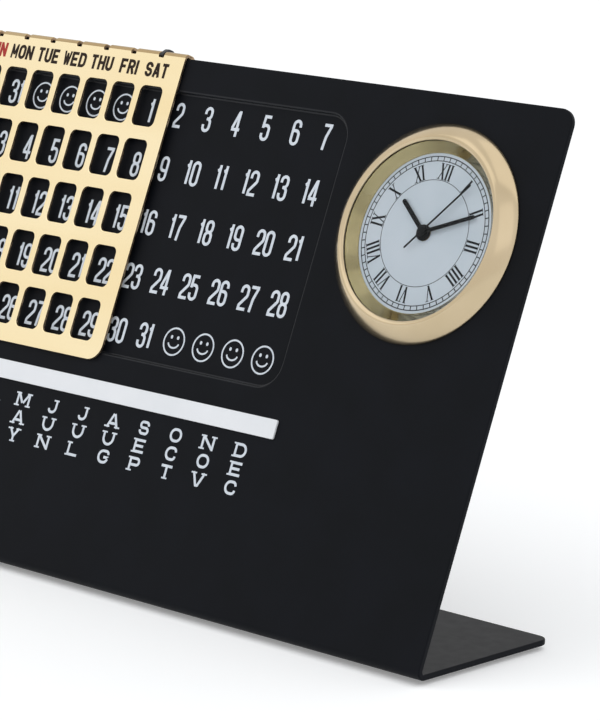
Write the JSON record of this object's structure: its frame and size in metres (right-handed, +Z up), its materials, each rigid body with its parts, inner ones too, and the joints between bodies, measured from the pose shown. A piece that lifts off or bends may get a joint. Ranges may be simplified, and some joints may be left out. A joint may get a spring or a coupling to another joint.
{
  "type": "perpetual desk calendar",
  "caption": "Leaning black sheet stand with a gold weekday frame that slides over printed dates, a month marker on a white strip and an inset analogue clock.",
  "frame": {"origin": "on the table under the middle of the whole object's box", "axes": "+X to the reader's right along the width, +Y back, +Z up; the face looks towards -Y and leans back 21.7 degrees"},
  "size_m": [0.149, 0.0412, 0.0892],
  "materials": {
    "black_paint": "satin powder coat",
    "pad_rubber": "moulded",
    "black_spring": "blackened spring steel",
    "satin_gold": "satin gold plating",
    "white_strip": "smooth white vinyl",
    "magnet": "bare sintered magnet",
    "polished_gold": "polished gold plating",
    "crystal_glass": "clear mineral glass",
    "reflector_gold": "polished gold plating",
    "dial_white": "matt white lacquer with black print",
    "case_brass": "turned brass",
    "black_plastic": "moulded",
    "ring_rubber": "moulded",
    "white_plastic": "moulded",
    "movement_brass": "stamped",
    "movement_steel": "rolled",
    "hand_black": "black lacquer",
    "coil_copper": "enamelled copper wire",
    "cell_steel": "nickel plated",
    "board_green": "solder resist"
  },
  "bodies": {
    "stand": {"stand": "black_paint", "foot_pads": "pad_rubber", "index_finger": "black_spring", "month_strip": "white_strip", "clock_bezel": "polished_gold", "crystal": "crystal_glass", "reflector_ring": "reflector_gold", "dial": "dial_white", "clock_case": "case_brass", "case_back": "black_plastic", "retaining_ring": "ring_rubber", "movement_ring": "white_plastic", "main_plate": "movement_brass", "train_bridge": "movement_steel", "bridge_screws": "movement_steel", "stator": "movement_steel", "coil_core": "movement_steel", "coil": "coil_copper", "button_cell": "cell_steel", "cell_contact": "movement_brass", "circuit_board": "board_green", "quartz_can": "cell_steel"},
    "date_frame": {"date_frame": "satin_gold"},
    "month_marker": {"marker_shell": "satin_gold", "marker_magnet": "magnet"},
    "hour_hand": {"hour_hand": "hand_black", "hour_wheel": "movement_brass"},
    "minute_hand": {"minute_hand": "hand_black", "cannon_pinion": "movement_brass"},
    "second_hand": {"second_hand": "hand_black", "seconds_wheel": "movement_brass"},
    "setting_knob": {"setting_crown": "black_plastic", "minute_wheel": "movement_brass"},
    "center_wheel": {"center_wheel": "movement_brass"},
    "third_wheel": {"third_wheel": "movement_brass"},
    "step_wheel": {"step_wheel": "white_plastic"},
    "rotor": {"rotor": "magnet"}
  },
  "joints": [
    {"name": "date_slide", "type": "slide", "parent": "stand", "child": "date_frame", "axis": [1, 0, 0], "range_m": [0, 0.042], "deforming": ["index_finger"]},
    {"name": "month_slide", "type": "slide", "parent": "stand", "child": "month_marker", "axis": [1, 0, 0], "range_m": [0, 0.08404]},
    {"name": "minute_turn", "type": "hinge", "parent": "stand", "child": "minute_hand", "pos_m": [0.0514, 0.00376, 0.06658], "axis": [0, 0.9291, -0.3697], "continuous": true},
    {"name": "hour_turn", "type": "hinge", "parent": "stand", "child": "hour_hand", "pos_m": [0.0514, 0.00404, 0.06647], "axis": [0, 0.9291, -0.3697], "continuous": true},
    {"name": "setting_turn", "type": "hinge", "parent": "stand", "child": "setting_knob", "pos_m": [0.0514, 0.00754, 0.07067], "axis": [0, 0.9291, -0.3697], "continuous": true},
    {"name": "second_turn", "type": "hinge", "parent": "stand", "child": "second_hand", "pos_m": [0.0514, 0.00349, 0.06669], "axis": [0, 0.9291, -0.3697], "continuous": true},
    {"name": "center_turn", "type": "hinge", "parent": "stand", "child": "center_wheel", "pos_m": [0.0514, 0.00748, 0.0651], "axis": [0, 0.9291, -0.3697], "continuous": true},
    {"name": "third_turn", "type": "hinge", "parent": "stand", "child": "third_wheel", "pos_m": [0.04716, 0.0075, 0.06246], "axis": [0, 0.9291, -0.3697], "continuous": true},
    {"name": "step_turn", "type": "hinge", "parent": "stand", "child": "step_wheel", "pos_m": [0.05564, 0.00936, 0.06172], "axis": [0, 0.9291, -0.3697], "continuous": true},
    {"name": "rotor_turn", "type": "hinge", "parent": "stand", "child": "rotor", "pos_m": [0.05928, 0.00766, 0.06013], "axis": [0, 0.9291, -0.3697], "continuous": true}
  ],
  "couplings": [
    {"joint": "hour_turn", "follows": "minute_turn", "ratio": 0.083333},
    {"joint": "setting_turn", "follows": "minute_turn", "ratio": -0.33333},
    {"joint": "third_turn", "follows": "second_turn", "ratio": -0.13333},
    {"joint": "center_turn", "follows": "second_turn", "ratio": 0.016667},
    {"joint": "step_turn", "follows": "second_turn", "ratio": -6},
    {"joint": "rotor_turn", "follows": "second_turn", "ratio": 30}
  ]
}
